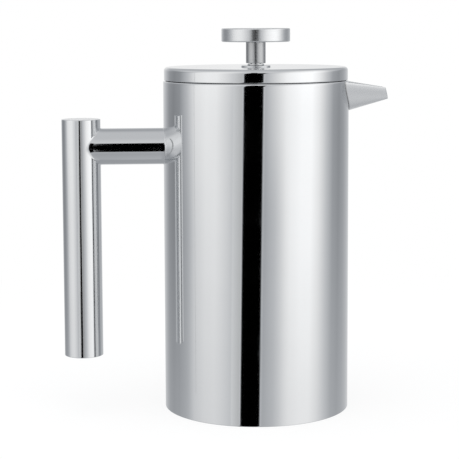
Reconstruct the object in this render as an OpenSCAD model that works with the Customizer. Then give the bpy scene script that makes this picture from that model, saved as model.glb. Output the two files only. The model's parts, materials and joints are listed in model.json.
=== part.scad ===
// French press: a double-walled steel pot with a welded spout and a tubular side handle,
// a lift-off lid, and a plunger that carries a stacked filter down through the coffee.
// Millimetres, +Z up. The origin is on the pot's axis, on the surface that the pot stands on.
// The spout points along +X and the handle along -X.

/* [Pot] */
// Outside diameter of the pot
pot_d = 104.5; // [100:0.5:110]
// Height of the pot's rim above the table
pot_h = 185.9; // [175:0.1:200]
// Thickness of the pressed sheet steel
sheet_t = 0.8; // [0.6:0.1:1]
// Air gap between the outer shell and the inner liner
wall_gap = 4.2; // [3.6:0.1:5]
// Height of the liner's floor above the table
floor_lift = 5.2; // [4:0.1:8]
// Radius of the rolled outer edge of the rim
rim_round = 0.9; // [0.9:0.1:1.6]

/* [Spout] */
// Distance from the pot's axis to the tip of the spout
spout_reach = 75.2; // [72:0.1:84]
// Half width of the spout where its upper edges meet the pot
spout_half_w = 22; // [20:0.1:25]
// Half width of the spout at its tip
spout_tip_half_w = 3.4; // [2.6:0.1:4]
// Depth of the spout where it meets the pot
spout_depth = 18.5; // [17:0.1:20]
// Depth of the spout at its tip
spout_tip_depth = 6.3; // [5:0.1:8]
// How far the spout's upper edge is below the rim at the pot
spout_drop = 0.4; // [0.2:0.1:1.5]
// How far the spout's upper edge is below the rim at the tip
spout_tip_drop = 4.7; // [4:0.1:7]
// Thickness of the spout's sheet
spout_t = 1; // [0.8:0.1:1.1]
// Lean of the cut at the tip, from upright
spout_tip_lean = 18; // [5:1:22]
// Half width of the pouring window through both walls
window_half_w = 18; // [15:0.1:18]
// Depth of the pouring window below the rolled rim
window_depth = 15.3; // [13:0.1:15.3]

/* [Handle] */
// Diameter of the upright grip
grip_d = 21.8; // [21:0.1:24]
// Distance from the pot's axis to the grip's axis
grip_reach = 98.5; // [92:0.1:105]
// Height of the grip's closed top above the table
grip_top = 164.7; // [162:0.1:170]
// Height of the grip's closed bottom above the table
grip_bottom = 30.5; // [20:0.1:45]
// Diameter of the level arm that joins the grip to the pot
arm_d = 20.4; // [17:0.1:20.6]
// Height of the arm's axis above the table
arm_z = 149.2; // [140:0.1:150]
// Wall thickness of the handle's tubes
tube_t = 1; // [0.8:0.1:1.5]
// Thickness of the discs that close the grip
cap_t = 1.2; // [0.8:0.1:2]

/* [Lid] */
// Height of the lid's cover
lid_h = 7.3; // [6:0.1:9]
// How far the lid's edge is inside the pot's
lid_inset = 0.5; // [0:0.1:1]
// Radius of the lid's upper edge
lid_round = 2; // [1.2:0.1:2.5]
// Gap between the rim and the lid
lid_gap = 0.3; // [0.2:0.1:0.5]
// How far the lid's plug reaches into the pot
plug_depth = 6.8; // [5:0.1:8]
// Clearance between the lid's plug and the liner
plug_clear = 0.6; // [0.4:0.1:1]
// Outside diameter of the bush that guides the rod
bush_d = 9.5; // [8.5:0.1:10]
// Diameter of the flange of the bush
bush_flange_d = 16.6; // [14:0.1:20]
// Thickness of the flange of the bush
bush_flange_t = 0.8; // [0.6:0.1:1.2]
// How far the bush stands above the lid
bush_rise = 1.7; // [1.5:0.1:3]
// Running clearance between the bush and the rod, on the radius
bush_clear = 0.08; // [0.03:0.01:0.1]
// Distance across the flats of the nut below the lid
nut_flats = 13; // [12:0.1:15]
// Thickness of the nut below the lid
nut_t = 3; // [2:0.1:4]

/* [Plunger] */
// Diameter of the knob
knob_d = 38.6; // [34:0.1:44]
// Thickness of the knob
knob_t = 7.5; // [6:0.1:10]
// Radius of the knob's edges
knob_round = 0.7; // [0.4:0.1:1.5]
// Diameter of the neck under the knob
neck_d = 11.1; // [9:0.1:13]
// Length of the neck under the knob
neck_h = 12; // [10:0.1:16]
// Diameter of the plunger rod
rod_d = 6; // [5:0.1:6.5]
// Diameter of the collar on the rod
collar_d = 11; // [9:0.1:14]
// Thickness of the collar on the rod
collar_t = 3; // [2:0.1:5]

/* [Filter] */
// Clearance between the filter and the liner
filter_clear = 0.3; // [0.3:0.1:0.6]
// Height of the filter's underside above the liner's floor
filter_lift = 3; // [2.5:0.1:5]
// Thickness of the screen's mesh
mesh_t = 0.4; // [0.3:0.1:0.6]
// Height of the screen's upturned edge
mesh_edge_h = 4.5; // [4:0.1:6]
// Diameter of the coils of the edge spring
spring_d = 3.8; // [3:0.1:4]
// How far the top plate's middle is above its edge
plate_dome = 5; // [3:0.1:6]
// Diameter of the holes in the top plate
top_hole_d = 4; // [3:0.1:4.5]
// Diameter of the large holes in the cross plate
cross_hole_d = 17; // [12:0.1:18]
// Number of large holes in the cross plate
cross_holes = 6; // [4:1:6]
// Diameter of the hub that screws onto the rod
hub_d = 11; // [9:0.1:12]

/* [Hidden] */
$fn = 96;
eps = 0.01;
far = 40;
// how far a cutting shape runs past what it cuts
over = 1;
// gap that keeps parts of different bodies from touching
part_gap = 0.3;

pot_r = pot_d / 2;
shell_in_r = pot_r - sheet_t;
liner_r = shell_in_r - wall_gap;
liner_in_r = liner_r - sheet_t;
// the liner's flange and the shell meet part of the way across the air gap
flange_r = liner_r + 0.6 * wall_gap;
floor_top = floor_lift + sheet_t;
floor_corner = 5;
least_round = 0.1;
rim_in_round = max(least_round, rim_round - sheet_t);

// the base plate's pressed channel
channel_in_r = 0.56 * pot_r;
channel_out_r = 0.80 * pot_r;
channel_h = 1;

// the spout's root is where its upper edges meet the pot's wall
root_x = sqrt(pot_r * pot_r - spout_half_w * spout_half_w);
window_top = pot_h - rim_round;
root_overlap = 4;
section_power = 1.7;
section_steps = 24;

grip_r = grip_d / 2;
arm_r = arm_d / 2;

lid_z = pot_h + lid_gap;
lid_top = lid_z + lid_h;
lid_r = pot_r - lid_inset;
plug_r = liner_in_r - plug_clear;
bush_r = bush_d / 2;
bush_below = 4;

rod_r = rod_d / 2;
neck_z = lid_top + bush_rise + part_gap;
knob_z = neck_z + neck_h;
rod_depth_in_knob = 0.5 * knob_t;

cross_z = floor_top + filter_lift;
mesh_z = cross_z + sheet_t;
screen_r = liner_in_r - filter_clear;
// the cross plate stays inside the bend of the screen's edge
cross_r = screen_r - 2.4;
spring_gap = 0.1;
spring_ring_r = screen_r - mesh_t - spring_d / 2 - spring_gap;
spring_z = mesh_z + mesh_t + spring_d / 2;
plate_r = spring_ring_r - spring_d / 2;
plate_z = spring_z - sheet_t / 2;
plate_flat_r = 0.28 * plate_r;
plate_rim_r = 0.92 * plate_r;
plate_top = plate_z + plate_dome + sheet_t;
plate_hole_r = rod_r + part_gap;
// three rings of holes in the top plate, as shares of its radius
first_ring = 0.42;
ring_step = 0.18;
first_count = 10;
count_step = 6;
ring_turn = 7;
hub_r = hub_d / 2;
hub_z = cross_z - sheet_t;
hub_floor = 2;
rod_z = hub_z + hub_floor + part_gap;
collar_z = plate_top + part_gap;
// rings of large and small holes in the cross plate, as shares of its radius
cross_ring = 0.52;
small_ring = 0.84;
small_hole_d = 0.45 * cross_hole_d;

polished = [0.80, 0.81, 0.83];
satin = [0.70, 0.71, 0.73];
inside = [0.62, 0.63, 0.65];

// ---- shared shapes ----

// Half section from the axis to a radius, with the upper outer edge rounded
module round_top(r, h, edge) {
    square([r, h - edge]);
    square([r - edge, h]);
    translate([r - edge, h - edge]) circle(edge);
}

// The same half section with the lower outer edge rounded
module round_bottom(r, h, edge) {
    translate([0, h]) mirror([0, 1]) round_top(r, h, edge);
}

// Closed outline of a sheet that hangs below a path of [radius, height] points
function sheet_outline(path, t) =
    concat(path, [for (i = [len(path) - 1 : -1 : 0]) path[i] - [0, t]]);

// A straight tube along +Z
module tube(r, h, t) {
    difference() {
        cylinder(r = r, h = h);
        translate([0, 0, -over]) cylinder(r = r - t, h = h + 2 * over);
    }
}

// A collar with a bore through it
module collar(r, h, bore_r) {
    tube(r, h, r - bore_r);
}

// Points of a U-shaped section that hangs from its two upper corners
function u_section(half_w, depth) = [
    for (i = [0 : section_steps])
        let (a = 180 * i / section_steps, c = cos(a), k = 2 / section_power)
            [sign(c) * half_w * pow(abs(c), k), -depth * pow(abs(sin(a)), k)]
];

// The same section with its open side carried up by a given height
function tall_u_section(half_w, depth, rise) =
    concat(u_section(half_w, depth), [[-half_w, rise], [half_w, rise]]);

// ---- pot ----

// Solid that cuts the pouring window: a U that runs along +X through both walls
module window_cut() {
    translate([liner_in_r - far / 2, 0, window_top])
        rotate([90, 0, 90])
            linear_extrude(far) polygon(u_section(window_half_w, window_depth));
}

module outer_shell() {
    color(satin) difference() {
        rotate_extrude() difference() {
            round_top(pot_r, pot_h, rim_round);
            translate([0, -over]) round_top(shell_in_r, pot_h - sheet_t + over, rim_in_round);
            translate([0, -over]) square([flange_r, pot_h + 2 * over]);
        }
        window_cut();
    }
}

module inner_liner() {
    color(inside) difference() {
        rotate_extrude() {
            difference() {
                translate([0, floor_lift]) round_bottom(liner_r, pot_h - floor_lift, floor_corner);
                translate([0, floor_top]) round_bottom(liner_in_r, pot_h, floor_corner - sheet_t);
            }
            translate([liner_in_r, window_top]) square([flange_r - liner_in_r, rim_round]);
        }
        window_cut();
    }
}

module base_plate() {
    path = [
        [0, sheet_t], [channel_in_r, sheet_t],
        [channel_in_r + channel_h, sheet_t + channel_h], [channel_out_r - channel_h, sheet_t + channel_h],
        [channel_out_r, sheet_t], [shell_in_r, sheet_t]
    ];
    color(satin) rotate_extrude() polygon(sheet_outline(path, sheet_t));
}

// Place along the spout: 0 at the pot's wall, 1 at the tip
function along(x) = (x - root_x) / (spout_reach - root_x);
function spout_w(x) = spout_half_w + (spout_tip_half_w - spout_half_w) * along(x);
function spout_d(x) = spout_depth + (spout_tip_depth - spout_depth) * along(x);
function spout_z(x) = pot_h - spout_drop - (spout_tip_drop - spout_drop) * along(x);

// A thin slice of the spout at x, smaller by inset all round and carried up by rise
module spout_slice(x, inset, rise) {
    translate([x, 0, spout_z(x)])
        rotate([90, 0, 90])
            linear_extrude(eps) polygon(tall_u_section(spout_w(x) - inset, spout_d(x) - inset, rise));
}

module spout_body(inset, rise) {
    hull() {
        spout_slice(root_x - root_overlap, inset, rise);
        spout_slice(spout_reach + over, inset, rise);
    }
}

module spout() {
    color(polished) difference() {
        spout_body(0, 0);
        spout_body(spout_t, spout_tip_drop);
        translate([0, 0, pot_h / 2]) cylinder(r = pot_r, h = pot_h);
        translate([spout_reach, 0, spout_z(spout_reach) - spout_d(spout_reach)])
            rotate([0, -spout_tip_lean, 0])
                translate([0, -far / 2, -far / 2]) cube(far);
    }
}

module spout_throat() {
    color(satin) difference() {
        intersection() {
            window_cut();
            cylinder(r = pot_r, h = pot_h);
        }
        translate([liner_in_r - far / 2 - over, 0, window_top])
            rotate([90, 0, 90])
                linear_extrude(far + 2 * over)
                    polygon(tall_u_section(window_half_w - sheet_t, window_depth - sheet_t, over));
        cylinder(r = liner_in_r, h = pot_h + over);
    }
}

// ---- handle ----

module grip_space() {
    translate([-grip_reach, 0, grip_bottom]) cylinder(r = grip_r, h = grip_top - grip_bottom);
}

module handle_arm() {
    color(polished) difference() {
        translate([-grip_reach, 0, arm_z])
            rotate([0, 90, 0]) tube(arm_r, grip_reach - pot_r / 2, tube_t);
        cylinder(r = pot_r, h = pot_h);
        grip_space();
    }
}

module handle_grip() {
    color(polished)
        translate([-grip_reach, 0, grip_bottom]) tube(grip_r, grip_top - grip_bottom, tube_t);
}

module grip_cap(z) {
    color(polished) translate([-grip_reach, 0, z]) cylinder(r = grip_r - tube_t, h = cap_t);
}

module grip_top_cap() {
    grip_cap(grip_top - cap_t);
}

module grip_bottom_cap() {
    grip_cap(grip_bottom);
}

// ---- lid ----

module lid_cover() {
    color(satin) translate([0, 0, lid_z]) rotate_extrude() difference() {
        round_top(lid_r, lid_h, lid_round);
        translate([0, -over]) round_top(lid_r - sheet_t, lid_h - sheet_t + over, lid_round - sheet_t);
        translate([0, -over]) square([bush_r, lid_h + 2 * over]);
    }
}

module lid_liner() {
    color(inside) translate([0, 0, lid_z]) rotate_extrude() {
        translate([bush_r, 0]) square([lid_r - sheet_t - bush_r, sheet_t]);
        translate([plug_r - sheet_t, -plug_depth]) square([sheet_t, plug_depth + sheet_t]);
    }
}

module guide_bush() {
    color(polished) difference() {
        union() {
            translate([0, 0, lid_z - bush_below]) cylinder(r = bush_r, h = bush_below + lid_h + bush_rise);
            translate([0, 0, lid_top]) cylinder(d = bush_flange_d, h = bush_flange_t);
        }
        cylinder(r = rod_r + bush_clear, h = 2 * pot_h);
    }
}

module bush_nut() {
    color(inside) translate([0, 0, lid_z - nut_t]) difference() {
        cylinder(d = nut_flats / cos(30), h = nut_t, $fn = 6);
        translate([0, 0, -over]) cylinder(r = bush_r, h = nut_t + 2 * over);
    }
}

// ---- plunger ----

module plunger_knob() {
    color(polished) translate([0, 0, knob_z]) difference() {
        rotate_extrude() intersection() {
            round_top(knob_d / 2, knob_t, knob_round);
            round_bottom(knob_d / 2, knob_t, knob_round);
        }
        translate([0, 0, -over]) cylinder(r = rod_r, h = rod_depth_in_knob + over);
    }
}

module knob_neck() {
    color(polished) translate([0, 0, neck_z]) collar(neck_d / 2, neck_h, rod_r);
}

module plunger_rod() {
    color(polished)
        translate([0, 0, rod_z]) cylinder(r = rod_r, h = knob_z + rod_depth_in_knob - rod_z);
}

module rod_collar() {
    color(polished) translate([0, 0, collar_z]) collar(collar_d / 2, collar_t, rod_r);
}

// ---- filter ----

// A ring of upright holes
module hole_ring(ring_r, hole_d, count, turn) {
    for (i = [0 : count - 1])
        rotate([0, 0, turn + 360 * i / count])
            translate([ring_r, 0, 0]) cylinder(d = hole_d, h = far);
}

module filter_top_plate() {
    dome_z = plate_z + plate_dome;
    path = [
        [plate_hole_r, dome_z + sheet_t], [plate_flat_r, dome_z + sheet_t],
        [plate_rim_r, plate_z + sheet_t], [plate_r, plate_z + sheet_t]
    ];
    color(inside) difference() {
        rotate_extrude() polygon(sheet_outline(path, sheet_t));
        for (ring = [0 : 2])
            hole_ring(
                plate_r * (first_ring + ring_step * ring), top_hole_d,
                first_count + count_step * ring, ring_turn * ring
            );
    }
}

module filter_edge_spring() {
    color(polished)
        translate([0, 0, spring_z])
            rotate_extrude() translate([spring_ring_r, 0]) circle(d = spring_d);
}

module filter_screen() {
    color(inside) translate([0, 0, mesh_z]) rotate_extrude() {
        translate([hub_r, 0]) square([screen_r - hub_r, mesh_t]);
        translate([screen_r - mesh_t, 0]) square([mesh_t, mesh_edge_h]);
    }
}

module filter_cross_plate() {
    color(inside) difference() {
        translate([0, 0, cross_z]) collar(cross_r, sheet_t, hub_r);
        hole_ring(cross_ring * cross_r, cross_hole_d, cross_holes, 0);
        hole_ring(small_ring * cross_r, small_hole_d, cross_holes, 180 / cross_holes);
    }
}

module filter_hub() {
    color(polished) difference() {
        translate([0, 0, hub_z]) cylinder(r = hub_r, h = plate_z + plate_dome - hub_z);
        translate([0, 0, hub_z + hub_floor]) cylinder(r = rod_r + bush_clear, h = far);
    }
}

outer_shell();
inner_liner();
base_plate();
spout();
spout_throat();
handle_arm();
handle_grip();
grip_top_cap();
grip_bottom_cap();
lid_cover();
lid_liner();
guide_bush();
bush_nut();
plunger_knob();
knob_neck();
plunger_rod();
rod_collar();
filter_top_plate();
filter_edge_spring();
filter_screen();
filter_cross_plate();
filter_hub();
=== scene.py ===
# %% [markdown]
# # A double-walled steel coffee press
# The press is an assembly of 22 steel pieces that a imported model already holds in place: a pot, a lid,
# a plunger and a filter, each a rigid body that moves on its own joint. This script keeps those bodies
# as a fixed frame and gives every piece a finished mesh and a finished steel.

# %% Load the frame
import json
import math

import bmesh
import bpy
from mathutils import Matrix, Vector


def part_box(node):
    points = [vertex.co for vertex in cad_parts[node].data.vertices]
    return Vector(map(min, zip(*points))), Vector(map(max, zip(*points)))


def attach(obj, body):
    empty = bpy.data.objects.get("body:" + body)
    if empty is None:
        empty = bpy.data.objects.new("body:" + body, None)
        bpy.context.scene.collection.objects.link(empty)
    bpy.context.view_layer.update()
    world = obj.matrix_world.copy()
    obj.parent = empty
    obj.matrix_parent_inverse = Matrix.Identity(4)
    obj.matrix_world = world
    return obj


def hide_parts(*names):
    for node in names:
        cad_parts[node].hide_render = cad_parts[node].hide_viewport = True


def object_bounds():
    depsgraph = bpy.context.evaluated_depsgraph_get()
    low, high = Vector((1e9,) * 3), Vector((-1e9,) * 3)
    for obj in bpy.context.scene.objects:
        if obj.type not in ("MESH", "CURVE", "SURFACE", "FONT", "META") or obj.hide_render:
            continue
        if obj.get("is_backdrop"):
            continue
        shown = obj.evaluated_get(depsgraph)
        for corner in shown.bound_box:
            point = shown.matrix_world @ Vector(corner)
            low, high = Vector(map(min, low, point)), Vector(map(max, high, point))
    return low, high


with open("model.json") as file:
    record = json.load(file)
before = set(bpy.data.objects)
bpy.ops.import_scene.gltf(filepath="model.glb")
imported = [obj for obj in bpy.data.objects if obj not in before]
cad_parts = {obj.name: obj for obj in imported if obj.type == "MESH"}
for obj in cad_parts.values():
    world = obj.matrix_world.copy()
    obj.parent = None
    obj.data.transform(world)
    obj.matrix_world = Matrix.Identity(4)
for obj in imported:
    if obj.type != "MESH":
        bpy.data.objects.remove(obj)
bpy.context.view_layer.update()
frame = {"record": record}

# %% [markdown]
# ## Sizes from the frame
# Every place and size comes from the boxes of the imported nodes, so a piece can't drift from the part
# that it stands for. The work is done in millimetres, which suit a kitchen tool, and each mesh is
# brought to metres at the very end.

# %% Read the driving sizes
MM = 0.001


def node_box(node):
    """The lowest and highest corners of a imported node, in millimetres."""
    low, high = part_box(node)
    return Vector(low) / MM, Vector(high) / MM


shell_high = node_box("outer_shell")[1]
liner_low, liner_high = node_box("inner_liner")
POT_R = shell_high.x
POT_H = shell_high.z
SHEET = 0.8
RIM_ROUND = 0.9
FLANGE_R = liner_high.x
FLOOR_Z = liner_low.z
print(f"pot: radius {POT_R:.1f} mm, height {POT_H:.1f} mm, rim flange radius {FLANGE_R:.2f} mm")

# %% [markdown]
# ## A lathe for round pieces
# Almost everything here was spun or turned, so one lathe serves most pieces. An outline is a short list
# of (radius, height) corners, and a third value rounds a corner. Real sheet metal has no perfectly sharp
# edge, and a small round is what catches the light. Two extra points hold each round, because polished
# steel shows every bend in its normals: without them the long flat walls would shade as if they curved.

# %% Draw rounded outlines
ARC_STEPS = 6
HOLD = 0.3


def rounded(outline, closed):
    """Points of an outline in which a corner with a third value is an arc of that radius."""
    points = []
    last = len(outline) - 1
    for i, (radius, height, *rounding) in enumerate(outline):
        corner = Vector((radius, 0, height))
        if not rounding or (not closed and i in (0, last)):
            points.append(corner)
            continue
        before = Vector((outline[i - 1][0], 0, outline[i - 1][1])) - corner
        after_corner = outline[(i + 1) % len(outline)]
        after = Vector((after_corner[0], 0, after_corner[1])) - corner
        half = before.angle(after) / 2
        run = rounding[0] / math.tan(half)
        inward = (before.normalized() + after.normalized()).normalized()
        middle = corner + inward * rounding[0] / math.sin(half)
        start = corner + before.normalized() * run
        end = corner + after.normalized() * run
        hold_before = min(HOLD, 0.25 * max(before.length - 2 * run, 0))
        hold_after = min(HOLD, 0.25 * max(after.length - 2 * run, 0))
        points.append(start + before.normalized() * hold_before)
        for k in range(ARC_STEPS + 1):
            out = (start - middle).slerp(end - middle, k / ARC_STEPS).normalized()
            points.append(middle + out * rounding[0])
        points.append(end + after.normalized() * hold_after)
    return points


# %% Spin an outline
def spun(outline, steps=96, closed=True, centre=(0, 0)):
    """A round solid: the outline turned about an upright axis through centre."""
    bm = bmesh.new()
    verts = [bm.verts.new(p) for p in rounded(outline, closed)]
    edges = [bm.edges.new(pair) for pair in zip(verts, verts[1:])]
    if closed:
        edges.append(bm.edges.new((verts[-1], verts[0])))
    bmesh.ops.spin(
        bm, geom=verts + edges, axis=(0, 0, 1), cent=(0, 0, 0), angle=math.tau, steps=steps, use_merge=True
    )
    bmesh.ops.remove_doubles(bm, verts=bm.verts, dist=1e-4)
    bmesh.ops.recalc_face_normals(bm, faces=bm.faces)
    bmesh.ops.translate(bm, vec=(*centre, 0), verts=bm.verts)
    return bm


def ring_outline(inner, outer, low, high, rounding):
    """A plain ring's section, with all four corners rounded alike."""
    return [(inner, low, rounding), (outer, low, rounding), (outer, high, rounding), (inner, high, rounding)]


def disc_outline(outer, low, high, rounding):
    """A plain disc's section from the axis out, with its two outer corners rounded."""
    return [(0, low), (outer, low, rounding), (outer, high, rounding), (0, high)]


# %% [markdown]
# ## Rows for shapes that aren't round
# The spout, the throat behind it and the handle's arm are sheets or tubes whose ends follow a wall.
# They are made as rows of points: the first row is drawn, and each next row is an extrusion of the last
# one, moved to its own place. A row is a ring for a tube, or an open line for a channel.

# %% Extrude rows into a solid
def rows_to_solid(rows, ring):
    """A closed solid from rows of matching points, with the last row joined back to the first."""
    bm = bmesh.new()
    first = [bm.verts.new(p) for p in rows[0]]
    pairs = list(zip(first, first[1:])) + ([(first[-1], first[0])] if ring else [])
    edges = [bm.edges.new(pair) for pair in pairs]
    start_edges = list(edges)
    line = first
    for row in rows[1:]:
        made = bmesh.ops.extrude_edge_only(bm, edges=edges)["geom"]
        edges = [e for e in made if isinstance(e, bmesh.types.BMEdge) and e.is_boundary]
        edges = [e for e in edges if not any(v in line for v in e.verts)]
        new_of = {}
        for old in line:
            for e in old.link_edges:
                other = e.other_vert(old)
                if other not in line and other in made:
                    new_of[old] = other
        line = [new_of[old] for old in line]
        for vert, place in zip(line, row):
            vert.co = place
    bmesh.ops.bridge_loops(bm, edges=edges + start_edges)
    if not ring:
        bmesh.ops.holes_fill(bm, edges=[e for e in bm.edges if e.is_boundary], sides=0)
    bmesh.ops.remove_doubles(bm, verts=bm.verts, dist=1e-4)
    bmesh.ops.recalc_face_normals(bm, faces=bm.faces)
    return bm


def soften(bm, width, segments=2, sharpest=40):
    """Rounds every edge that is sharper than an angle."""
    edges = [e for e in bm.edges if e.is_manifold and e.calc_face_angle(0) > math.radians(sharpest)]
    bmesh.ops.bevel(
        bm, geom=edges, offset=width, offset_type="OFFSET", segments=segments,
        profile=0.5, affect="EDGES", material=-1, clamp_overlap=True,
    )


# %% [markdown]
# ## Shader sums written as sums
# A steel's brushing, smudges and painted crevice shade are all sums of a few textures. Wrapping a socket in
# a small class lets those sums be written the way they would be on paper, while each operator adds its node.

# %% Wrap sockets and node trees
class Value:
    """A number that a node tree works out. Python's operators add Math nodes."""

    def __init__(self, tree, socket):
        self.tree = tree
        self.socket = socket

    def math(self, operation, *others):
        node = self.tree.nodes.new("ShaderNodeMath")
        node.operation = operation
        for slot, value in zip(node.inputs, (self, *others)):
            connect(self.tree, slot, value)
        return Value(self.tree, node.outputs[0])

    def __add__(self, other):
        return self.math("ADD", other)

    def __radd__(self, other):
        return self.math("ADD", other)

    def __sub__(self, other):
        return self.math("SUBTRACT", other)

    def __rsub__(self, other):
        return (self * -1).math("ADD", other)

    def __mul__(self, other):
        return self.math("MULTIPLY", other)

    def __rmul__(self, other):
        return self.math("MULTIPLY", other)

    def __truediv__(self, other):
        return self.math("DIVIDE", other)

    def between(self, low, high):
        """0 below low, 1 above high and a smooth step between."""
        return Maker(self.tree).node(
            "ShaderNodeMapRange",
            {"interpolation_type": "SMOOTHSTEP"},
            {"Value": self, "From Min": low, "From Max": high, "To Min": 0.0, "To Max": 1.0},
        )["Result"]


def connect(tree, socket, value):
    """Links a Value to a socket, or sets the socket to a plain number, colour or vector."""
    if isinstance(value, Value):
        tree.links.new(value.socket, socket)
    else:
        socket.default_value = value


class Maker:
    """Adds nodes to one tree."""

    def __init__(self, tree):
        self.tree = tree

    def node(self, kind, settings=None, inputs=None):
        """A node of a kind, its settings set first, and its outputs by name."""
        made = self.tree.nodes.new(kind)
        for name, value in (settings or {}).items():
            if name == "stops":
                set_stops(made.color_ramp, value)
            else:
                setattr(made, name, value)
        for name, value in (inputs or {}).items():
            connect(self.tree, made.inputs[name], value)
        return {out.name: Value(self.tree, out) for out in made.outputs if out.enabled}

    def mix(self, factor, first, second):
        """A colour between two colours."""
        made = self.tree.nodes.new("ShaderNodeMix")
        made.data_type = "RGBA"
        connect(self.tree, made.inputs["Factor"], factor)
        for socket, value in zip([s for s in made.inputs if s.type == "RGBA"], (first, second)):
            connect(self.tree, socket, value)
        return Value(self.tree, [s for s in made.outputs if s.type == "RGBA"][0])


def set_stops(ramp, stops):
    """Sets a ramp's stops from (position, brightness) pairs."""
    while len(ramp.elements) > 1:
        ramp.elements.remove(ramp.elements[-1])
    ramp.elements[0].position = stops[0][0]
    ramp.elements[0].color = (stops[0][1],) * 3 + (1,)
    for position, brightness in stops[1:]:
        ramp.elements.new(position).color = (brightness,) * 3 + (1,)


def grey(brightness, warmth=0.0):
    """A neutral colour. A positive warmth takes a little blue away."""
    return (brightness * (1 + warmth), brightness, brightness * (1 - warmth), 1)


# %% [markdown]
# ## Steel
# The whole press is stainless steel, so what sets one piece from the next is its finish. The pot, lid
# and handle were buffed to a satin that is nearly a mirror: reflections keep a crisp edge, yet fine
# scratches run the way each piece turned under the wheel. Inside, the finish is coarser. One steel
# function takes the direction of the scratches, their strength and how rough the piece is.

# %% Scratch directions
def ring_scratches(make, place, pitch):
    """Fine lines round an upright axis: even round a wall, and circles on a flat face."""
    x, y, z = place
    radius = (x * x + y * y + 1e-9).math("SQRT")
    along = (radius + z) / (pitch * MM)
    parts = {"X": x / radius * 2, "Y": y / radius * 2, "Z": along}
    return make.node("ShaderNodeCombineXYZ", {}, parts)["Vector"]


def straight_scratches(axis):
    """Fine lines along one axis, as a tube gets when it's drawn past a belt."""
    stretch = [1.0, 1.0, 1.0]
    stretch["XYZ".index(axis)] = 0.012

    def pattern(make, place, pitch):
        parts = {name: part * (s / (pitch * MM)) for name, part, s in zip("XYZ", place, stretch)}
        return make.node("ShaderNodeCombineXYZ", {}, parts)["Vector"]

    return pattern


# %% Make a steel
COOL = -0.012


def steel(name, scratches, rough, scratch, pitch=0.35, tone=0.80, smudge=0.03, crevice_shade=None, centre_x=0.0):
    """A stainless steel with directional scratches, faint smudges and, where asked, painted shade in a
    crevice.
    """
    material = bpy.data.materials.new(name)
    material.use_nodes = True
    tree = material.node_tree
    tree.nodes.clear()
    make = Maker(tree)
    here = make.node("ShaderNodeTexCoord")["Object"]
    parts = make.node("ShaderNodeSeparateXYZ", {}, {"Vector": here})
    place = (parts["X"] - centre_x * MM, parts["Y"], parts["Z"])
    lines = make.node(
        "ShaderNodeTexNoise", {}, {"Vector": scratches(make, place, pitch), "Scale": 1.0, "Detail": 2.0}
    )["Fac"]
    clouds = make.node(
        "ShaderNodeTexNoise", {}, {"Vector": here, "Scale": 38.0, "Detail": 3.0, "Roughness": 0.55}
    )["Fac"]
    smear = clouds.between(0.45, 0.75) * smudge
    colour = make.mix(clouds.between(0.3, 0.7) * 0.5, grey(tone, COOL), grey(tone * 0.975, COOL))
    colour = make.mix(lines.between(0.62, 0.80) * (scratch * 0.5), colour, grey(tone * 0.86, COOL))
    roughness = rough + (lines - 0.5) * (rough * 0.9) + smear
    if crevice_shade:
        crevice_shade_mask = crevice_shade(make, place)
        # Painted shade: the colour is darkened along the crevice where the spout meets the pot's wall.
        colour = make.mix(crevice_shade_mask * 0.55, colour, grey(0.20, 0.03))
        roughness = roughness + crevice_shade_mask * 0.2
    bump = make.node(
        "ShaderNodeBump", {}, {"Strength": scratch, "Distance": 0.00002, "Height": lines}
    )["Normal"]
    shader = make.node(
        "ShaderNodeBsdfPrincipled",
        {},
        {"Base Color": colour, "Metallic": 1.0, "Roughness": roughness, "Normal": bump},
    )["BSDF"]
    make.node("ShaderNodeOutputMaterial", {}, {"Surface": shader})
    return material


# %% Painted shade in the crevice where a piece is welded to the pot
def wall_crevice_shade(make, place):
    """1 on a thin line where a welded piece meets the pot's wall, where dark crevice shade is painted."""
    x, y, z = place
    off_wall = (x * x + y * y).math("SQRT") / MM - POT_R
    return 1 - off_wall.between(0.10, 0.75)


SATIN_ROUND = steel("satin_steel_turned", ring_scratches, rough=0.045, scratch=0.10)
SATIN_KNOB = steel("satin_steel_knob", ring_scratches, rough=0.23, scratch=0.2)
# Painted shade: the neck's tone of 0.52 is darker than the other steels because the knob above shades it;
# its rough brushed finish is real.
NECK_STEEL_PAINTED_SHADE = steel("neck_steel_painted_shade", straight_scratches("Z"), rough=0.28, scratch=0.5, tone=0.52)
SATIN_SPOUT = steel(
    "satin_steel_spout", straight_scratches("X"), rough=0.27, scratch=0.25, tone=0.76, crevice_shade=wall_crevice_shade
)
SATIN_ARM = steel("satin_steel_arm", straight_scratches("X"), rough=0.05, scratch=0.22)
SATIN_GRIP = steel("satin_steel_grip", straight_scratches("Z"), rough=0.09, scratch=0.24)
BRIGHT = steel("polished_steel", ring_scratches, rough=0.07, scratch=0.12, pitch=0.25)
INSIDE = steel("brushed_inside_steel", ring_scratches, rough=0.26, scratch=0.5, pitch=0.5, tone=0.72)
PRESSED = steel("pressed_plate_steel", straight_scratches("X"), rough=0.24, scratch=0.45, tone=0.72)
WIRE = steel("spring_wire_steel", ring_scratches, rough=0.22, scratch=0.2, tone=0.74)
print("steels:", ", ".join(material.name for material in bpy.data.materials if "steel" in material.name))

# %% [markdown]
# ## From bmesh to a piece on a body
# Each finished mesh rides on the body that its CAD node belongs to, and stands for that node. Smooth
# shading is kept off the real corners by an angle, so flats stay flat and rounds stay round.

# %% Finish a piece
BODY_OF = {n: body for body, nodes in frame["record"]["behaviour"]["bodies"].items() for n in nodes}


def put_on_frame(piece, node):
    """Rides a piece on its node's body, in its node's place, and hides the node."""
    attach(piece, BODY_OF[node])
    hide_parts(node)
    print(f"{piece.name}: {len(piece.data.polygons)} faces on {BODY_OF[node]}")


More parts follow.
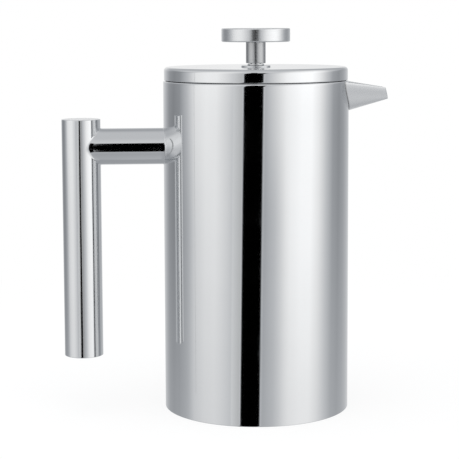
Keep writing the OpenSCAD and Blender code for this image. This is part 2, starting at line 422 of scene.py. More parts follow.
def finish_piece(bm, node, material):
    """Turns a bmesh in millimetres into the finished piece that stands for a node."""
    bmesh.ops.scale(bm, vec=(MM, MM, MM), verts=bm.verts)
    mesh = bpy.data.meshes.new(node + "_finished")
    bm.to_mesh(mesh)
    bm.free()
    mesh.shade_smooth()
    mesh.set_sharp_from_angle(angle=math.radians(32))
    mesh.materials.append(material)
    piece = bpy.data.objects.new(node + "_finished", mesh)
    bpy.context.scene.collection.objects.link(piece)
    put_on_frame(piece, node)
    return piece


# %% [markdown]
# ## The pouring window
# Coffee leaves through a U-shaped window that goes through both walls, just under the rolled rim. The
# walls are lathe work, so the window is cut from them by moving one ring of points down onto the U and
# taking out the faces above it. The cylinder stays a true cylinder, and only upright edges grow longer.

# %% The U-shaped section that the window and spout share
SECTION_POWER = 1.7
SECTION_STEPS = 32
throat_low, throat_high = node_box("spout_throat")
WINDOW_TOP = throat_high.z
WINDOW_W = throat_high.y
WINDOW_DEPTH = throat_high.z - throat_low.z


def u_section(half_w, depth):
    """(across, down) points of a U that hangs from its two upper corners."""
    k = 2 / SECTION_POWER
    points = []
    for i in range(SECTION_STEPS + 1):
        a = math.pi * i / SECTION_STEPS
        across = math.copysign(abs(math.cos(a)) ** k, math.cos(a)) * half_w
        points.append((across, -depth * abs(math.sin(a)) ** k))
    return points


def u_height(across, half_w, depth):
    """How far below its corners the U is, at a distance across."""
    share = min(abs(across) / half_w, 1.0)
    return depth * (1 - share ** SECTION_POWER) ** (1 / SECTION_POWER)


# %% Cut the window out of a spun wall
WINDOW_STRAIGHT = 0.6
WINDOW_RING = WINDOW_TOP - WINDOW_STRAIGHT


def cut_window(bm):
    """Opens the pouring window in a spun wall that has rings at WINDOW_RING and WINDOW_TOP."""
    def in_window(place):
        return place.x > 0 and abs(place.y) < WINDOW_W

    above = [
        f for f in bm.faces
        if in_window(f.calc_center_median())
        and min(v.co.z for v in f.verts) > WINDOW_RING - 0.01
        and max(v.co.z for v in f.verts) < WINDOW_TOP + 0.01
    ]
    bmesh.ops.delete(bm, geom=above, context="FACES")
    for v in bm.verts:
        if abs(v.co.z - WINDOW_RING) < 0.01 and in_window(v.co):
            v.co.z = min(WINDOW_RING, WINDOW_TOP - u_height(v.co.y, WINDOW_W, WINDOW_DEPTH))
    bmesh.ops.bridge_loops(bm, edges=[e for e in bm.edges if e.is_boundary])
    bmesh.ops.recalc_face_normals(bm, faces=bm.faces)


# %% [markdown]
# ## The pot
# The outer shell is a plain tube of sheet steel with a rolled rim, the inner liner is a deep-drawn cup
# with a flange, and the two meet on top of the rim. The base plate closes the gap between them and has
# a pressed channel that keeps it from drumming. All three are lathe work, with fine steps because the
# shell fills most of the view and its edge has to look perfectly round.

# %% Outer shell
WALL_STEPS = 192
inner_shell_r = POT_R - SHEET
shell = spun(
    [
        (POT_R, 0, 0.25), (POT_R, WINDOW_RING), (POT_R, WINDOW_TOP), (POT_R, POT_H, RIM_ROUND),
        (FLANGE_R, POT_H), (FLANGE_R, POT_H - SHEET), (inner_shell_r, POT_H - SHEET, RIM_ROUND - SHEET),
        (inner_shell_r, WINDOW_TOP), (inner_shell_r, WINDOW_RING), (inner_shell_r, 0, 0.2),
    ],
    WALL_STEPS,
)
cut_window(shell)
finish_piece(shell, "outer_shell", SATIN_ROUND)

# %% Inner liner
AIR_GAP = 4.2
liner_out_r = inner_shell_r - AIR_GAP
liner_in_r = liner_out_r - SHEET
floor_corner = 5
liner = spun(
    [
        (0, FLOOR_Z), (liner_out_r, FLOOR_Z, floor_corner), (liner_out_r, WINDOW_RING),
        (liner_out_r, WINDOW_TOP), (FLANGE_R, WINDOW_TOP), (FLANGE_R, POT_H), (liner_in_r, POT_H, 0.6),
        (liner_in_r, WINDOW_TOP), (liner_in_r, WINDOW_RING),
        (liner_in_r, FLOOR_Z + SHEET, floor_corner - SHEET), (0, FLOOR_Z + SHEET),
    ],
    WALL_STEPS,
    closed=False,
)
cut_window(liner)
finish_piece(liner, "inner_liner", INSIDE)

# %% Base plate
base_high = node_box("base_plate")[1]
channel_in = 0.56 * POT_R
channel_out = 0.80 * POT_R
channel_h = base_high.z - SHEET
base = spun(
    [
        (0, 0), (channel_in, 0, 0.6), (channel_in + channel_h, channel_h, 0.6),
        (channel_out - channel_h, channel_h, 0.6), (channel_out, 0, 0.6), (base_high.x, 0, 0.2),
        (base_high.x, SHEET), (channel_out, SHEET, 0.6), (channel_out - channel_h, base_high.z, 0.6),
        (channel_in + channel_h, base_high.z, 0.6), (channel_in, SHEET, 0.6), (0, SHEET),
    ],
    128,
    closed=False,
)
finish_piece(base, "base_plate", SATIN_ROUND)

# %% [markdown]
# ## The spout
# The spout is one bent sheet: a wide U at the pot that narrows in straight lines to a small U at the tip,
# open on top. Straight lines from one U to the other give the true shape. Each line is then slid along
# itself until its ends touch the pot's round wall and the slanted cut at the tip.

# %% Spout lines
spout_high = node_box("spout")[1]
SPOUT_T = 1.0
SPOUT_HALF_W = spout_high.y
SPOUT_TIP_HALF_W = 3.4
SPOUT_DEPTH = 18.5
SPOUT_TIP_DEPTH = 6.3
TIP_X = spout_high.x
TIP_LEAN = math.radians(18)
ROOT_X = math.sqrt(POT_R ** 2 - SPOUT_HALF_W ** 2)
ROOT_TOP = POT_H - 0.4
TIP_TOP = POT_H - 4.7
KEEL_TIP_Z = TIP_TOP - SPOUT_TIP_DEPTH


def meet_wall(start, end, radius):
    """Where the line from start to end crosses an upright cylinder on the pot's axis."""
    way = end - start
    a = way.x ** 2 + way.y ** 2
    b = 2 * (start.x * way.x + start.y * way.y)
    c = start.x ** 2 + start.y ** 2 - radius ** 2
    return start + way * ((-b + math.sqrt(b * b - 4 * a * c)) / (2 * a))


def meet_tip(start, end):
    """Where the same line crosses the slanted cut at the tip."""
    lean = math.tan(TIP_LEAN)
    off_start = start.x + (start.z - KEEL_TIP_Z) * lean - TIP_X
    off_end = end.x + (end.z - KEEL_TIP_Z) * lean - TIP_X
    return start + (end - start) * (off_start / (off_start - off_end))


def spout_rows(inset):
    """The U at the wall, the U at the tip and three between, drawn in by inset."""
    root = u_section(SPOUT_HALF_W - inset, SPOUT_DEPTH - inset)
    tip = u_section(SPOUT_TIP_HALF_W - inset, SPOUT_TIP_DEPTH - inset)
    lines = []
    for (root_y, root_z), (tip_y, tip_z) in zip(root, tip):
        start = Vector((ROOT_X, root_y, ROOT_TOP + root_z))
        end = Vector((TIP_X, tip_y, TIP_TOP + tip_z))
        lines.append((meet_wall(start, end, POT_R), meet_tip(start, end)))
    return [[a.lerp(b, share) for a, b in lines] for share in (0, 0.04, 0.35, 0.7, 0.97, 1)]


# %% Spout solid
spout = rows_to_solid(spout_rows(0) + spout_rows(SPOUT_T)[::-1], ring=False)
soften(spout, 0.22, segments=2, sharpest=50)
finish_piece(spout, "spout", SATIN_SPOUT)


# %% Throat behind the spout
def throat_row(inset, radius):
    """The window's U, drawn in by inset, laid on a wall of some radius."""
    points = u_section(WINDOW_W - inset, WINDOW_DEPTH - inset)
    return [Vector((math.sqrt(radius ** 2 - y * y), y, WINDOW_TOP + z)) for y, z in points]


throat = rows_to_solid(
    [
        throat_row(0, liner_in_r), throat_row(0, POT_R),
        throat_row(SHEET, POT_R), throat_row(SHEET, liner_in_r),
    ],
    ring=False,
)
finish_piece(throat, "spout_throat", INSIDE)

# %% [markdown]
# ## The handle
# The handle is two drawn tubes. The upright grip is closed by a disc at each end, and the level arm is
# cut to a saddle at both ends so that it fits the pot and the grip with no gap. A small fillet of weld
# metal, ground and polished, runs round each saddle.

# %% Arm
grip_low, grip_high = node_box("handle_grip")
arm_low, arm_high = node_box("handle_arm")
GRIP_X = (grip_low.x + grip_high.x) / 2
GRIP_R = (grip_high.x - grip_low.x) / 2
ARM_R = (arm_high.z - arm_low.z) / 2
ARM_Z = (arm_high.z + arm_low.z) / 2
TUBE_T = 1.0
ARM_STEPS = 96


def arm_ring(radius, on_pot, away):
    """A ring round the arm that follows the pot's wall or the grip's, some way off it."""
    ring = []
    for i in range(ARM_STEPS):
        a = math.tau * i / ARM_STEPS
        y = radius * math.cos(a)
        if on_pot:
            x = -math.sqrt(POT_R ** 2 - y * y) - away
        else:
            x = GRIP_X + math.sqrt(GRIP_R ** 2 - min(y * y, GRIP_R ** 2)) + away
        ring.append(Vector((x, y, ARM_Z + radius * math.sin(a))))
    return ring


# The fillet's section: how much fatter than the arm it is, and how far along the arm.
weld = [(0.45, 0.0), (0.16, 0.12), (0.05, 0.32), (0.0, 0.7)]
inside_r = ARM_R - TUBE_T
arm = rows_to_solid(
    [arm_ring(ARM_R + fat, True, away) for fat, away in weld]
    + [arm_ring(ARM_R, True, 3), arm_ring(ARM_R, False, 3)]
    + [arm_ring(ARM_R + fat, False, away) for fat, away in weld[::-1]]
    + [arm_ring(inside_r, False, 0), arm_ring(inside_r, True, 0)],
    ring=True,
)
finish_piece(arm, "handle_arm", SATIN_ARM)

# %% Grip and its two end discs
CAP_T = 1.2
grip = spun(
    ring_outline(GRIP_R - TUBE_T, GRIP_R, grip_low.z, grip_high.z, 0.25), 96, centre=(GRIP_X, 0)
)
finish_piece(grip, "handle_grip", SATIN_GRIP)
GRIP_END = steel("satin_steel_grip_end", ring_scratches, rough=0.16, scratch=0.3, centre_x=GRIP_X)
for cap_node, low in (("grip_top_cap", grip_high.z - CAP_T), ("grip_bottom_cap", grip_low.z)):
    cap = spun(disc_outline(GRIP_R - TUBE_T, low, low + CAP_T, 0.15), 96, closed=False, centre=(GRIP_X, 0))
    finish_piece(cap, cap_node, GRIP_END)

# %% [markdown]
# ## The lid
# The lid is a pressed cover over a liner whose plug centres it in the pot. A flanged bush goes down
# through both, and a nut below clamps the three together. The rod slides in the bush.

# %% Lid cover and liner
lid_low, lid_high = node_box("lid_cover")
bush_low, bush_high = node_box("guide_bush")
LID_Z = lid_low.z
LID_TOP = lid_high.z
LID_ROUND = 2.0
LID_R = lid_high.x
BUSH_R = 4.75
cover = spun(
    [
        (BUSH_R, LID_TOP, 0.2), (LID_R, LID_TOP, LID_ROUND), (LID_R, LID_Z, 0.3),
        (LID_R - SHEET, LID_Z, 0.3), (LID_R - SHEET, LID_TOP - SHEET, LID_ROUND - SHEET),
        (BUSH_R, LID_TOP - SHEET),
    ],
    WALL_STEPS,
)
finish_piece(cover, "lid_cover", SATIN_ROUND)

plug_low = node_box("lid_liner")[0]
PLUG_CLEARANCE = 0.6
PLUG_R = liner_in_r - PLUG_CLEARANCE
lid_liner = spun(
    [
        (BUSH_R, LID_Z + SHEET), (LID_R - SHEET, LID_Z + SHEET), (LID_R - SHEET, LID_Z),
        (PLUG_R, LID_Z, 0.3), (PLUG_R, plug_low.z, 0.35), (PLUG_R - SHEET, plug_low.z, 0.35),
        (PLUG_R - SHEET, LID_Z, 0.5), (BUSH_R, LID_Z),
    ],
    WALL_STEPS,
)
finish_piece(lid_liner, "lid_liner", INSIDE)

# %% Guide bush
ROD_R = 3.0
BORE_R = ROD_R + 0.08
FLANGE_TOP = LID_TOP + 0.8
flange_r = bush_high.x
bush = spun(
    [
        (BORE_R, bush_low.z, 0.3), (BUSH_R, bush_low.z, 0.4), (BUSH_R, LID_TOP), (flange_r, LID_TOP, 0.2),
        (flange_r, FLANGE_TOP, 0.5), (BUSH_R, FLANGE_TOP, 0.3), (BUSH_R, bush_high.z, 0.5),
        (BORE_R, bush_high.z, 0.3),
    ],
    96,
)
finish_piece(bush, "guide_bush", BRIGHT)

# %% Nut under the lid
nut_low, nut_high = node_box("bush_nut")
NUT_FLATS = nut_high.y - nut_low.y
nut_corner = 0.45
nut = spun(
    [
        (BUSH_R, nut_low.z, 0.3), (NUT_FLATS / 2, nut_low.z), (NUT_FLATS / 2 + 0.01, nut_low.z + nut_corner),
        (NUT_FLATS / 2 + 0.01, nut_high.z - nut_corner), (NUT_FLATS / 2, nut_high.z), (BUSH_R, nut_high.z),
    ],
    72,
)
for v in nut.verts:
    radius = v.co.xy.length
    if radius > NUT_FLATS / 2 + 0.005:
        off_flat = (math.atan2(v.co.y, v.co.x) + math.pi / 6) % (math.pi / 3) - math.pi / 6
        reach = NUT_FLATS / 2 / math.cos(off_flat)
        v.co.x *= reach / radius
        v.co.y *= reach / radius
bmesh.ops.rotate(nut, cent=(0, 0, 0), matrix=Matrix.Rotation(math.pi / 6, 3, "Z"), verts=nut.verts)
finish_piece(nut, "bush_nut", BRIGHT)

# %% [markdown]
# ## The plunger
# A flat knob sits on a sleeve, and both are fixed to the top of the rod. The rod goes down through the
# lid's bush, and a collar near its end bears on the filter.

# %% Knob, neck, rod and collar
knob_low, knob_high = node_box("plunger_knob")
neck_low, neck_high = node_box("knob_neck")
rod_low, rod_high = node_box("plunger_rod")
collar_low, collar_high = node_box("rod_collar")
KNOB_ROUND = 0.7
knob = spun(
    [
        (ROD_R, knob_low.z), (knob_high.x, knob_low.z, KNOB_ROUND), (knob_high.x, knob_high.z, KNOB_ROUND),
        (0, knob_high.z), (0, rod_high.z), (ROD_R, rod_high.z),
    ],
    128,
)
finish_piece(knob, "plunger_knob", SATIN_KNOB)
neck = spun(ring_outline(ROD_R, neck_high.x, neck_low.z, neck_high.z, 0.35), 96)
finish_piece(neck, "knob_neck", NECK_STEEL_PAINTED_SHADE)
rod = spun(disc_outline(ROD_R, rod_low.z, rod_high.z, 0.5), 64, closed=False)
finish_piece(rod, "plunger_rod", BRIGHT)
collar = spun(ring_outline(ROD_R, collar_high.x, collar_low.z, collar_high.z, 0.4), 72)
finish_piece(collar, "rod_collar", BRIGHT)

# %% [markdown]
# ## The filter
# Two plates hold a woven screen between them, and a fine coil spring round the edge presses the screen
# against the liner. The plates are drawn flat as circles, filled between the circles, given their dish,
# and then given their thickness, which is close to how a press punches and forms them.

# %% Draw and fill a punched plate
def circle_edges(bm, radius, count, centre=(0.0, 0.0)):
    """The edges of a new flat circle."""
    place = Matrix.Translation((*centre, 0))
    verts = bmesh.ops.create_circle(bm, cap_ends=False, radius=radius, segments=count, matrix=place)["verts"]
    return list({e for v in verts for e in v.link_edges})


def punched_plate(circles, holes, dish, thickness):
    """A plate that fills the bands between round circles, less its holes, bent to a dish.

    circles are the radii of the bands' edges, from the outside in. holes are (ring radius, hole radius,
    count, first angle). dish gives the height of the upper face at a radius."""
    bm = bmesh.new()
    rings = [(radius, circle_edges(bm, radius, 120 if radius > 15 else 60)) for radius in circles]
    for (outer, outer_edges), (inner, inner_edges) in zip(rings, rings[1:]):
        edges = outer_edges + inner_edges
        for ring_r, hole_r, count, first in holes:
            if inner < ring_r < outer:
                for i in range(count):
                    a = math.radians(first) + math.tau * i / count
                    edges += circle_edges(bm, hole_r, 20, (ring_r * math.cos(a), ring_r * math.sin(a)))
        bmesh.ops.triangle_fill(bm, use_beauty=True, use_dissolve=False, edges=edges, normal=(0, 0, 1))
    for v in bm.verts:
        v.co.z = dish(v.co.xy.length)
    top = list(bm.faces)
    for f in top:
        if f.normal.z < 0:
            f.normal_flip()
    lower = bmesh.ops.extrude_face_region(bm, geom=top)["geom"]
    lower_verts = [g for g in lower if isinstance(g, bmesh.types.BMVert)]
    bmesh.ops.translate(bm, vec=(0, 0, -thickness), verts=lower_verts)
    bmesh.ops.recalc_face_normals(bm, faces=bm.faces)
    return bm


# %% Top plate
plate_low, plate_high = node_box("filter_top_plate")
plate_r = plate_high.x
plate_flat_r = 0.28 * plate_r
plate_rim_r = 0.92 * plate_r
rim_z = plate_low.z + SHEET


def top_dish(radius):
    """Flat in the middle, a shallow cone, and a flat edge."""
    share = (plate_rim_r - radius) / (plate_rim_r - plate_flat_r)
    return rim_z + (plate_high.z - rim_z) * min(max(share, 0.0), 1.0)


top_plate = punched_plate(
    [plate_r, plate_rim_r, plate_r * 0.69, plate_r * 0.51, plate_flat_r, ROD_R + 0.3],
    [(plate_r * (0.42 + 0.18 * ring), 2.0, 10 + 6 * ring, 7 * ring) for ring in range(3)],
    top_dish,
    SHEET,
)
finish_piece(top_plate, "filter_top_plate", PRESSED)

# %% Cross plate
cross_low, cross_high = node_box("filter_cross_plate")
hub_low, hub_high = node_box("filter_hub")
cross_r = (cross_high.x - cross_low.x) / 2
HUB_R = hub_high.x
cross_plate = punched_plate(
    [cross_r, HUB_R],
    [(0.52 * cross_r, 8.5, 6, 0), (0.84 * cross_r, 3.825, 6, 30)],
    lambda radius: cross_high.z,
    SHEET,
)
finish_piece(cross_plate, "filter_cross_plate", PRESSED)

# %% Hub
HUB_FLOOR = 2
hub = spun(
    [
        (0, hub_low.z), (HUB_R, hub_low.z, 0.8), (HUB_R, hub_high.z, 0.3), (BORE_R, hub_high.z, 0.2),
        (BORE_R, hub_low.z + HUB_FLOOR), (0, hub_low.z + HUB_FLOOR),
    ],
    72,
    closed=False,
)
finish_piece(hub, "filter_hub", BRIGHT)

# %% [markdown]
# ## The edge spring
# The spring is a fine coil whose ends are hooked together to make a ring. A curve that winds round the
# ring gives every turn, and a thin bevel makes it wire.

# %% Edge spring
spring_low, spring_high = node_box("filter_edge_spring")
COIL_R = (spring_high.z - spring_low.z) / 2
RING_R = spring_high.x - COIL_R
SPRING_Z = (spring_high.z + spring_low.z) / 2
WIRE_R = 0.3
TURNS = 180
POINTS_PER_TURN = 12


def spring_point(i):
    """A point on the wire's middle line."""
    round_ring = math.tau * i / (TURNS * POINTS_PER_TURN)
    round_coil = math.tau * i / POINTS_PER_TURN
    radius = RING_R + (COIL_R - WIRE_R) * math.cos(round_coil)
    height = SPRING_Z + (COIL_R - WIRE_R) * math.sin(round_coil)
    return Vector((radius * math.cos(round_ring), radius * math.sin(round_ring), height)) * MM


coil = bpy.data.curves.new("spring_path", "CURVE")
coil.dimensions = "3D"
coil.bevel_depth = WIRE_R * MM
coil.bevel_resolution = 1
path = coil.splines.new("POLY")
path.points.add(TURNS * POINTS_PER_TURN - 1)
for i, point in enumerate(path.points):
    point.co = (*spring_point(i), 1)
path.use_cyclic_u = True
coil_object = bpy.data.objects.new("spring_path", coil)
bpy.context.scene.collection.objects.link(coil_object)
depsgraph = bpy.context.evaluated_depsgraph_get()
spring_mesh = bpy.data.meshes.new_from_object(coil_object.evaluated_get(depsgraph))
bpy.data.objects.remove(coil_object)
spring_mesh.name = "filter_edge_spring_finished"
spring_mesh.shade_smooth()
spring_mesh.materials.clear()
spring_mesh.materials.append(WIRE)
spring = bpy.data.objects.new("filter_edge_spring_finished", spring_mesh)
bpy.context.scene.collection.objects.link(spring)
put_on_frame(spring, "filter_edge_spring")

# %% [markdown]
# ## The woven screen
# The screen is cut from wire cloth, far too fine to model thread by thread, and pressed into a shallow
# pan. The pan is real, and the cloth is drawn by its material: two sets of threads that pass over and
# under each other, as a height for the bump and as pinholes painted with dark shade in the colour, where the
# cloth is open.

# %% Woven wire material
THREAD_PITCH = 0.55


def woven_wire():
    """Wire cloth of fine threads, over and under."""
    material = bpy.data.materials.new("woven_wire")
    material.use_nodes = True
    tree = material.node_tree
    tree.nodes.clear()
    make = Maker(tree)
    parts = make.node("ShaderNodeSeparateXYZ", {}, {"Vector": make.node("ShaderNodeTexCoord")["Object"]})
    pitch = math.pi / (THREAD_PITCH * MM)
    across = (parts["X"] * pitch).math("SINE")
    up = ((parts["Y"] + parts["Z"]) * pitch).math("SINE")
    weave = across * up
    thread = across.math("ABSOLUTE").math("MAXIMUM", up.math("ABSOLUTE"))
    height = thread + weave * 0.3
    # Painted shade: the pinholes between the threads are coloured near-black where the cloth is open.
    pinhole_shade = 1 - thread.between(0.25, 0.5)
    colour = make.mix(pinhole_shade, grey(0.62), grey(0.05))
    bump = make.node("ShaderNodeBump", {}, {"Strength": 0.6, "Distance": 0.0001, "Height": height})["Normal"]
    shader = make.node(
        "ShaderNodeBsdfPrincipled",
        {},
        {"Base Color": colour, "Metallic": 1.0, "Roughness": 0.3 + pinhole_shade * 0.4, "Normal": bump},
    )["BSDF"]
    make.node("ShaderNodeOutputMaterial", {}, {"Surface": shader})
    return material


# %% Screen pan
screen_low, screen_high = node_box("filter_screen")
SCREEN_R = screen_high.x
MESH_T = 0.4
screen = spun(
    [
        (HUB_R, screen_low.z), (SCREEN_R, screen_low.z, 0.9), (SCREEN_R, screen_high.z, 0.15),
        (SCREEN_R - MESH_T, screen_high.z, 0.15), (SCREEN_R - MESH_T, screen_low.z + MESH_T, 0.5),
        (HUB_R, screen_low.z + MESH_T),
    ],
    128,
)
finish_piece(screen, "filter_screen", woven_wire())

# %% [markdown]
# ## The studio
# Steel has no colour of its own: it shows the room. So the room is designed first, as a photographer
# would. Two large soft panels stand left and right of the camera and fade out at their edges, the wall
# behind the press is white, and a narrow black card beside the lens draws the crisp dark band that tells
# the eye the surface is polished. The room is painted on the world by direction, because a direction is
# all that a distant wall needs, and its brightness is easy to set one stop at a time.

# %% Camera
CAMERA_TURN = -5.0
CAMERA_DISTANCE = 0.852
CAMERA_HEIGHT = 0.2206
AIM_TURN = 1.013
AIM_DOWN = 6.25
ROLL = -0.219
LENS_MM = 118.36
SHIFT_Y = -0.10

turn = math.radians(CAMERA_TURN)
camera_data = bpy.data.cameras.new("camera")
camera_data.sensor_width = 36
camera_data.lens = LENS_MM
camera_data.shift_y = SHIFT_Y
camera_data.dof.use_dof = False
camera = bpy.data.objects.new("camera", camera_data)
bpy.context.scene.collection.objects.link(camera)
camera.matrix_world = (
    Matrix.Translation((CAMERA_DISTANCE * math.sin(turn), -CAMERA_DISTANCE * math.cos(turn), CAMERA_HEIGHT))
    @ Matrix.Rotation(turn + math.radians(AIM_TURN), 4, "Z")
    @ Matrix.Rotation(math.radians(90 - AIM_DOWN), 4, "X")
    @ Matrix.Rotation(math.radians(ROLL), 4, "Z")
)
bpy.context.scene.camera = camera
print(f"camera {CAMERA_DISTANCE * 1000:.0f} mm away, {LENS_MM} mm lens")

# %% Room brightness by direction
# Degrees round the room from the camera's side of the press, and the brightness seen there.
PANELS = [
    (-180, 0.82), (-165, 0.72), (-150, 0.55), (-134, 0.33), (-121, 0.28), (-107, 0.33), (-92, 0.57),
    (-78, 0.90), (-62, 0.99), (-48, 0.97), (-32, 0.77), (-18, 0.54), (0, 0.42), (14, 0.54), (26, 0.77),
    (40, 1.04), (60, 1.19), (74, 1.20), (86, 0.99), (99, 0.66), (112, 0.40), (126, 0.33), (140, 0.40),
    (155, 0.54), (170, 0.70), (180, 0.82),
]
# How much narrower the panels are lower down, as the share of light lost at each direction.
FLANKS = [
    (-180, 0.0), (-110, 0.04), (-98, 0.15), (-88, 0.20), (-76, 0.12), (-60, 0.06), (-40, 0.0), (4, 0.0),
    (15, 0.17), (26, 0.20), (34, 0.13), (46, 0.0), (180, 0.0),
]
CARD = (-13.7, 10.4)
CARD_LINE = 1.1
CARD_EDGE = 0.25
CARD_LEAN = 0.45
CEILING = 0.72
FLOOR = 0.40
WALL_MEAN = 0.62
BRIGHTEST = 1.25


def turn_share(degrees):
    """A direction round the room as a share of a full turn, for a ramp."""
    return degrees / 360 + 0.5


world = bpy.data.worlds.new("studio")
bpy.context.scene.world = world
world.use_nodes = True
world.node_tree.nodes.clear()
room = Maker(world.node_tree)
sight = room.node("ShaderNodeSeparateXYZ", {}, {"Vector": room.node("ShaderNodeTexCoord")["Generated"]})
rise = sight["Z"].math("ARCSINE")
sink = rise * -1
round_room = sight["X"].math("ARCTAN2", sight["Y"] * -1) - turn - rise * CARD_LEAN
share = (round_room / math.tau + 1.5).math("FRACT")
panels = room.node(
    "ShaderNodeValToRGB",
    {"stops": [(turn_share(at), light / BRIGHTEST) for at, light in PANELS]},
    {"Fac": share},
)["Color"] * BRIGHTEST
flanks = room.node(
    "ShaderNodeValToRGB", {"stops": [(turn_share(at), loss) for at, loss in FLANKS]}, {"Fac": share}
)["Color"]
spill = (panels - WALL_MEAN).math("MAXIMUM", 0.0)
low_down = sink.between(math.radians(4), math.radians(20)) * 0.5
narrow = 1.06 - sink.between(math.radians(2.2), math.radians(3.8)) * 0.06
narrow = narrow - flanks * sink.between(math.radians(3), math.radians(8))
wall = (panels + (WALL_MEAN - panels) * low_down) * narrow
card = room.node(
    "ShaderNodeValToRGB",
    {
        "stops": [
            (turn_share(CARD[0] - CARD_LINE - CARD_EDGE), 0.5), (turn_share(CARD[0] - CARD_LINE), 0.62),
            (turn_share(CARD[0] - CARD_EDGE), 0.62), (turn_share(CARD[0]), 0.0),
            (turn_share(CARD[1]), 0.0), (turn_share(CARD[1] + CARD_EDGE), 0.62),
            (turn_share(CARD[1] + CARD_LINE), 0.62), (turn_share(CARD[1] + CARD_LINE + CARD_EDGE), 0.5),
        ]
    },
    {"Fac": share},
)["Color"] * 2
behind = sight["Y"].between(0.1, 0.8)
zenith = rise.between(math.radians(25), math.radians(60))
ceiling = CEILING + spill * 0.7 * (1 - zenith) - behind * 0.25 - zenith * 0.10
ground = FLOOR + spill * 0.2 + sight["X"].between(0.25, 0.6) * 0.32
up_high = rise.between(math.radians(8), math.radians(20))
floor_below = sink.between(math.radians(25), math.radians(48))
light = wall * card
light = light + (ceiling - light) * up_high
light = light + (ground - light) * floor_below
tint = room.mix(light.between(0.2, 1.0), (0.955, 0.99, 1.045, 1), (1.0, 1.0, 1.0, 1))
glow = room.node("ShaderNodeBackground", {}, {"Color": tint, "Strength": light})["Background"]
room.node("ShaderNodeOutputWorld", {}, {"Surface": glow})
print(f"room: {len(PANELS)} panel stops, {len(FLANKS)} flank stops and one black card")

# %% [markdown]
# ## Floor, overhead light and cards
# The press stands on a plain white sweep. The sweep is lit by a soft overhead light, and it fades to an
# even white further out so that no horizon shows. It's hidden from the steel's reflections, which keep
# to the room above. A black card gives the arm its own dark band, and two grey ones hide part of the
# room's black card from the grip, which then shows a thin line where the pot shows a broad one.

# %% White sweep
SWEEP_R = 3.0
FLOOR_GAP = 0.00005


def stage_object(name, mesh, material):
    """Links a mesh that belongs to the studio and not to the press."""
    made = bpy.data.objects.new(name, mesh)
    mesh.materials.append(material)
    bpy.context.scene.collection.objects.link(made)
    made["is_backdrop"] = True
    return made


def sweep_material():
    """White paper near the press, even white light further out."""
    material = bpy.data.materials.new("white_sweep")
    material.use_nodes = True
    tree = material.node_tree
    tree.nodes.clear()
    make = Maker(tree)
    parts = make.node("ShaderNodeSeparateXYZ", {}, {"Vector": make.node("ShaderNodeTexCoord")["Object"]})
    out = (parts["X"] * parts["X"] + parts["Y"] * parts["Y"]).math("SQRT")
    paper = make.node("ShaderNodeBsdfDiffuse", {}, {"Color": grey(0.93)})["BSDF"]
    haze = make.node("ShaderNodeEmission", {}, {"Color": grey(1.0), "Strength": 1.0})["Emission"]
    mixed = make.node("ShaderNodeMixShader", {}, {"Fac": 0.82 + out.between(0.15, 0.45) * 0.18})
    join = tree.nodes[-1]
    connect(tree, join.inputs[1], paper)
    connect(tree, join.inputs[2], haze)
    make.node("ShaderNodeOutputMaterial", {}, {"Surface": mixed["Shader"]})
    return material


sweep_bm = spun(
    [(0, -FLOOR_GAP), (SWEEP_R, -FLOOR_GAP, 1.2), (SWEEP_R, 3.2, 1.2), (0, 3.2)], 96, closed=False
)
bmesh.ops.reverse_faces(sweep_bm, faces=sweep_bm.faces)
sweep_mesh = bpy.data.meshes.new("sweep")
sweep_bm.to_mesh(sweep_mesh)
sweep_bm.free()
sweep_mesh.shade_smooth()
sweep = stage_object("sweep", sweep_mesh, sweep_material())
sweep.visible_glossy = False
sweep.visible_diffuse = False
sweep.visible_shadow = False
print(f"sweep: {SWEEP_R} m in radius")

# %% Overhead light
overhead_data = bpy.data.lights.new("overhead", "SUN")
overhead_data.energy = 1.7
overhead_data.angle = math.radians(80)
overhead = bpy.data.objects.new("overhead", overhead_data)
overhead.rotation_euler = (math.radians(12), math.radians(-10), 0)
overhead.visible_glossy = False
bpy.context.scene.collection.objects.link(overhead)
print(f"overhead light: {math.degrees(overhead_data.angle):.0f} degrees wide")

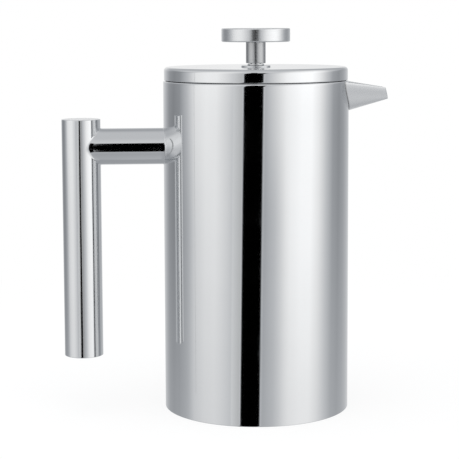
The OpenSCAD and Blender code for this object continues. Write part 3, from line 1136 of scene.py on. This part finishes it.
# %% Cards beside the handle
def card_material(name, across, lean, brightness):
    """A card's even light, or a smooth change from its left edge to its right one."""
    material = bpy.data.materials.new(name)
    material.use_nodes = True
    material.node_tree.nodes.clear()
    make = Maker(material.node_tree)
    parts = make.node("ShaderNodeSeparateXYZ", {}, {"Vector": make.node("ShaderNodeTexCoord")["Object"]})
    share = (parts["X"] - parts["Z"] * lean - across[0]) / (across[1] - across[0])
    level = brightness[0] + share * (brightness[1] - brightness[0])
    glow = make.node("ShaderNodeEmission", {}, {"Color": grey(1.0, COOL), "Strength": level})["Emission"]
    make.node("ShaderNodeOutputMaterial", {}, {"Surface": glow})
    return material


def upright_card(name, across, y, up, brightness, lean=0.0):
    """A flat upright card that only reflections see. It leans sideways by lean metres for each metre up."""
    bm = bmesh.new()
    bmesh.ops.create_grid(bm, x_segments=1, y_segments=1, size=0.5)
    bmesh.ops.rotate(bm, cent=(0, 0, 0), matrix=Matrix.Rotation(math.pi / 2, 3, "X"), verts=bm.verts)
    bmesh.ops.scale(bm, vec=(across[1] - across[0], 1, up[1] - up[0]), verts=bm.verts)
    bmesh.ops.translate(bm, vec=(sum(across) / 2, y, sum(up) / 2), verts=bm.verts)
    for v in bm.verts:
        v.co.x += lean * v.co.z
    mesh = bpy.data.meshes.new(name)
    bm.to_mesh(mesh)
    bm.free()
    made = stage_object(name, mesh, card_material(name, across, lean, brightness))
    made.visible_camera = False
    made.visible_diffuse = False
    made.visible_shadow = False
    print(f"{name}: {across[1] - across[0]:.3f} m wide")


upright_card("arm_card", (-0.104, -0.030), -0.55, (-0.175, 0.385), (0.0, 0.0))
upright_card("far_grip_card", (-0.365, -0.236), -0.55, (-0.30, 0.19), (0.73, 0.55), lean=0.2)
upright_card("near_grip_card", (-0.1006, -0.0937), -0.041, (0.0, 0.19), (0.42, 0.42))

# %% [markdown]
# ## Finish
# Steel needs whites that reach white and a black that stays black, so the plain view transform is used.
# The visual model's box is worked out at the end.

bpy.context.scene.view_settings.view_transform = "Standard"
low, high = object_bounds()
